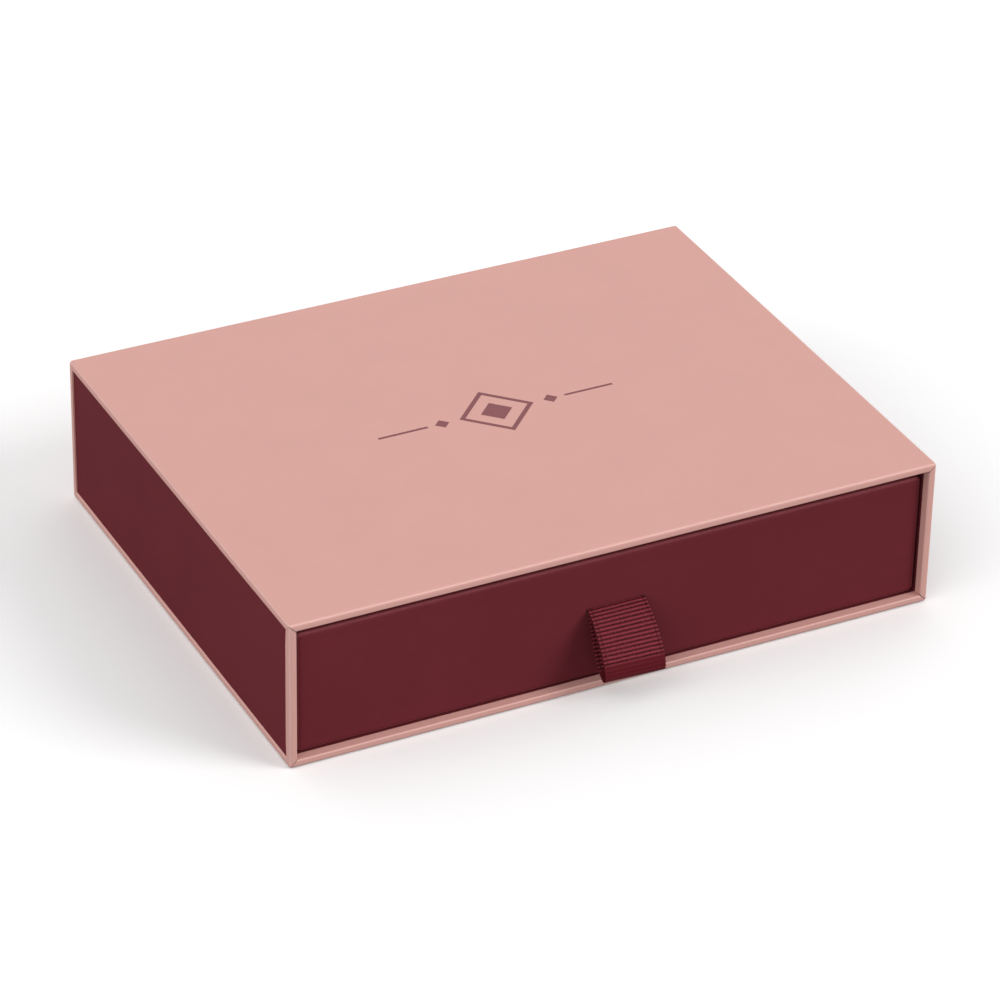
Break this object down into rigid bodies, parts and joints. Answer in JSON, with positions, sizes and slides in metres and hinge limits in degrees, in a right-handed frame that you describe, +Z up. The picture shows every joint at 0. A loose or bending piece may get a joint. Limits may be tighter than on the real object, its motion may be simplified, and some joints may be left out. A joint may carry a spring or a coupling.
{
  "type": "sliding drawer gift box",
  "caption": "Rigid paper-covered board sleeve, open at the front, with a tray drawer that slides out of it by a folded grosgrain ribbon loop.",
  "frame": {"origin": "middle of the sleeve's underside, on the surface that the box stands on", "axes": "+X to the right along the front, +Y to the back, +Z up; the drawer slides out along -Y"},
  "size_m": [0.22, 0.1823, 0.051],
  "materials": {
    "greyboard": "matte",
    "blush_paper": "matte",
    "wine_paper": "matte",
    "gummed_tape": "matte",
    "wine_foil": "satin",
    "grosgrain": "satin"
  },
  "bodies": {
    "sleeve": {"sleeve_top_board": "greyboard", "sleeve_base_board": "greyboard", "sleeve_back_board": "greyboard", "sleeve_left_board": "greyboard", "sleeve_right_board": "greyboard", "front_post_left": "greyboard", "front_post_right": "greyboard", "sleeve_edge_tapes": "gummed_tape", "sleeve_wrap": "blush_paper", "post_wrap_left": "blush_paper", "post_wrap_right": "blush_paper", "side_cover_left": "wine_paper", "side_cover_right": "wine_paper", "sleeve_liner": "wine_paper", "sleeve_base_sheet": "blush_paper", "foil_ornament": "wine_foil"},
    "drawer": {"drawer_front_board": "greyboard", "drawer_back_board": "greyboard", "drawer_left_board": "greyboard", "drawer_right_board": "greyboard", "drawer_base_board": "greyboard", "drawer_corner_stays": "gummed_tape", "drawer_wrap": "wine_paper", "drawer_floor_paper": "wine_paper", "drawer_base_sheet": "wine_paper", "front_lining_card": "wine_paper", "ribbon_tails": "grosgrain"},
    "ribbon": {"ribbon_loop": "grosgrain"}
  },
  "joints": [
    {"name": "drawer_slide", "type": "slide", "parent": "sleeve", "child": "drawer", "axis": [0, -1, 0], "range_m": [0, 0.1656]},
    {"name": "ribbon_swing", "type": "hinge", "parent": "drawer", "child": "ribbon", "pos_m": [0, -0.08335, 0.0273], "axis": [-1, 0, 0], "range_deg": [-15, 55], "stiffness_Nm_per_rad": 0.0003, "springref_deg": 2.35}
  ]
}
